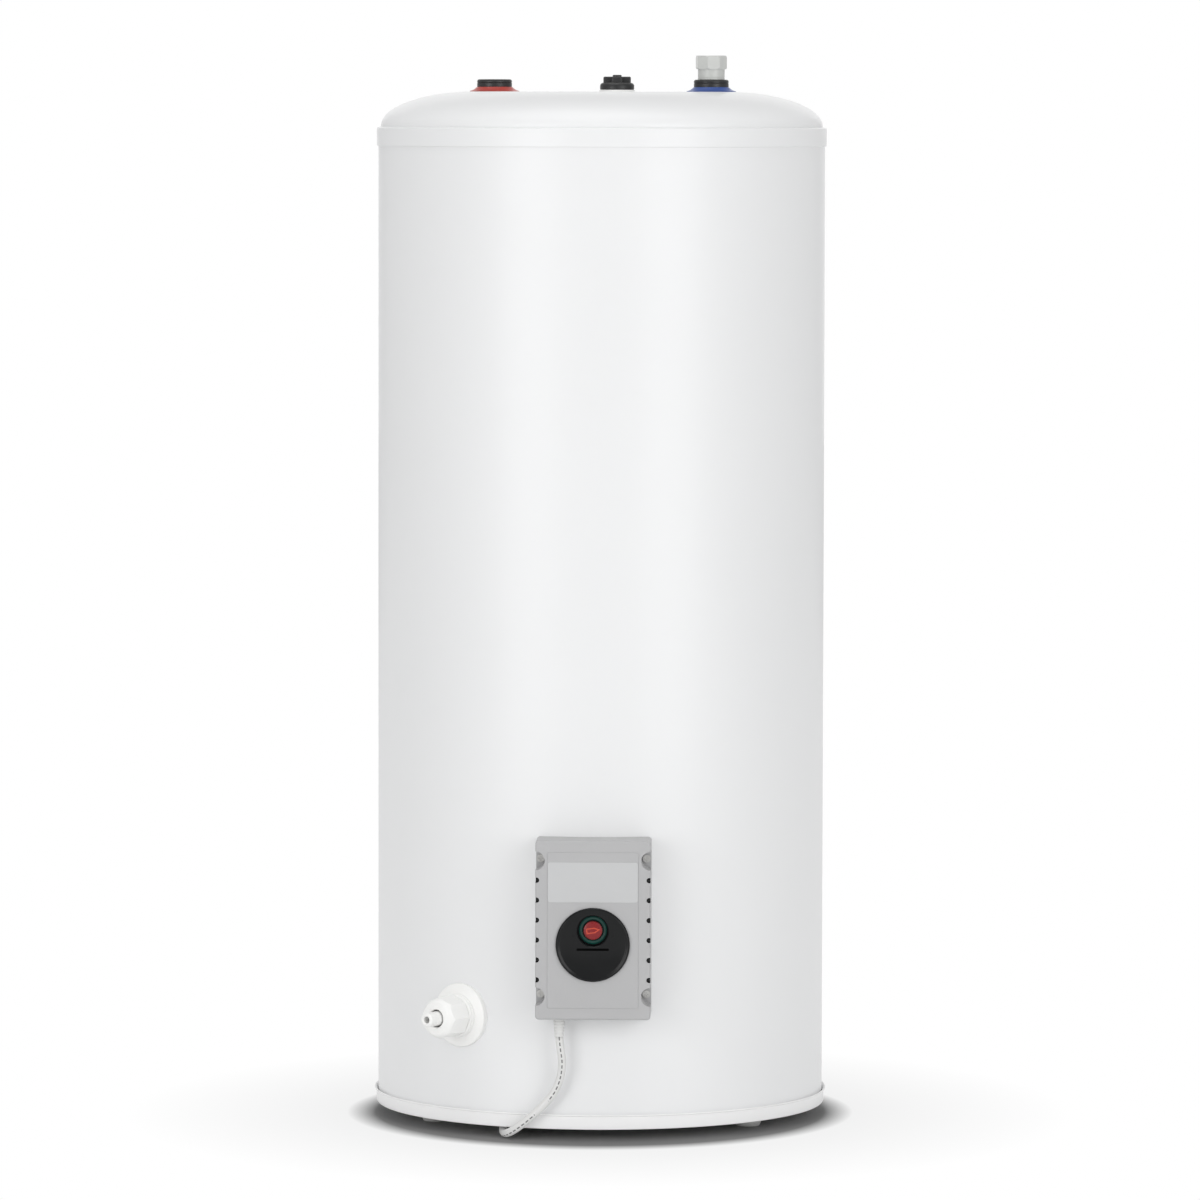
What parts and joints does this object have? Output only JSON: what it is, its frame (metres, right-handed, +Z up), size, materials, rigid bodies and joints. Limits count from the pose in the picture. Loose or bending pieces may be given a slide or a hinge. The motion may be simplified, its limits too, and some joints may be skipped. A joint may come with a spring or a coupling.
{
  "type": "tank water heater",
  "caption": "Upright round electric storage water heater on low feet, with a domed cover, pipe fittings on top, a control box low on the front, a drain cock and a plug-in lead.",
  "frame": {"origin": "on the floor, on the axis of the tank", "axes": "+Z up along the axis of the tank, -Y out of the front where the control box is, +X to the right seen from the front"},
  "size_m": [0.4779, 0.6462, 1.117],
  "materials": {
    "white_enamel": "gloss",
    "foot_plastic": "matte",
    "foam": "matte",
    "tank_enamel": "satin",
    "bare_steel": "satin",
    "ivory_plastic": "satin",
    "red_plastic": "gloss",
    "blue_plastic": "gloss",
    "black_plastic": "satin",
    "white_plastic": "satin",
    "orange_plastic": "satin",
    "magnesium": "matte",
    "black_rubber": "matte",
    "brass": "satin",
    "copper_sheath": "satin",
    "dark_moulding": "matte",
    "knob_red": "gloss",
    "grey_plastic": "satin",
    "bezel_black": "gloss",
    "scale_green": "gloss",
    "label_film": "satin",
    "wire_sheath": "satin",
    "lead_white": "satin",
    "tie_black": "satin"
  },
  "bodies": {
    "tank_assembly": {"bottom_cover": "white_enamel", "outer_casing": "white_enamel", "top_cover": "white_enamel", "feet": "foot_plastic", "foam_insulation": "foam", "tank_shell": "tank_enamel", "tank_top_head": "tank_enamel", "tank_bottom_head": "tank_enamel", "tank_stand": "tank_enamel", "hot_boss": "tank_enamel", "cold_boss": "tank_enamel", "anode_boss": "tank_enamel", "element_neck": "tank_enamel", "drain_boss": "tank_enamel", "hot_nipple": "bare_steel", "cold_nipple": "bare_steel", "anode_stud": "bare_steel", "inlet_spring": "bare_steel", "flange_bolts": "bare_steel", "thermowell": "bare_steel", "cover_screws": "bare_steel", "hot_liner": "ivory_plastic", "dip_tube": "ivory_plastic", "inlet_retainer": "ivory_plastic", "terminal_block": "ivory_plastic", "hot_rosette": "red_plastic", "cold_rosette": "blue_plastic", "hot_collar": "black_plastic", "cold_collar": "black_plastic", "anode_plug": "black_plastic", "anode_washer": "white_plastic", "inlet_valve_body": "white_plastic", "drain_valve_body": "white_plastic", "drain_escutcheon": "white_plastic", "anode_rod": "magnesium", "element_gasket": "black_rubber", "element_flange": "brass", "thermostat_bulb": "brass", "plug_pins": "brass", "heating_element": "copper_sheath", "thermostat_body": "dark_moulding", "control_base": "dark_moulding", "control_cover": "grey_plastic", "dial_bezel": "bezel_black", "scale_ring": "scale_green", "rating_plate": "label_film", "wiring": "wire_sheath", "cord_gland": "lead_white", "cord_run": "lead_white", "cord_coil": "lead_white", "cord_tail": "lead_white", "plug_body": "lead_white", "cord_tie": "tie_black"},
    "knob": {"thermostat_knob": "knob_red"},
    "reset": {"reset_button": "knob_red"},
    "poppet": {"inlet_poppet": "orange_plastic"},
    "drain_slider": {"drain_stem": "white_plastic", "drain_seal": "black_rubber"},
    "drain_turner": {"drain_handle": "white_plastic"}
  },
  "joints": [
    {"name": "thermostat_turn", "type": "hinge", "parent": "tank_assembly", "child": "knob", "pos_m": [0, -0.27, 0.2225], "axis": [0, -1, 0], "range_deg": [-135, 135]},
    {"name": "reset_press", "type": "slide", "parent": "tank_assembly", "child": "reset", "axis": [0, 1, 0], "range_m": [0, 0.0015], "stiffness_N_per_m": 600, "springref_m": -0.001},
    {"name": "inlet_poppet_drop", "type": "slide", "parent": "tank_assembly", "child": "poppet", "axis": [0, 0, -1], "range_m": [0, 0.005], "stiffness_N_per_m": 80, "springref_m": -0.004, "deforming": ["inlet_spring"]},
    {"name": "drain_handle_turn", "type": "hinge", "parent": "tank_assembly", "child": "drain_turner", "pos_m": [-0.15356, -0.20981, 0.125], "axis": [-0.5906, -0.807, 0], "range_deg": [0, 540]},
    {"name": "drain_stem_draw", "type": "slide", "parent": "tank_assembly", "child": "drain_slider", "axis": [-0.5906, -0.807, 0], "range_m": [0, 0.0045]}
  ],
  "couplings": [
    {"joint": "drain_stem_draw", "follows": "drain_handle_turn", "m_per_rad": 0.000477}
  ]
}
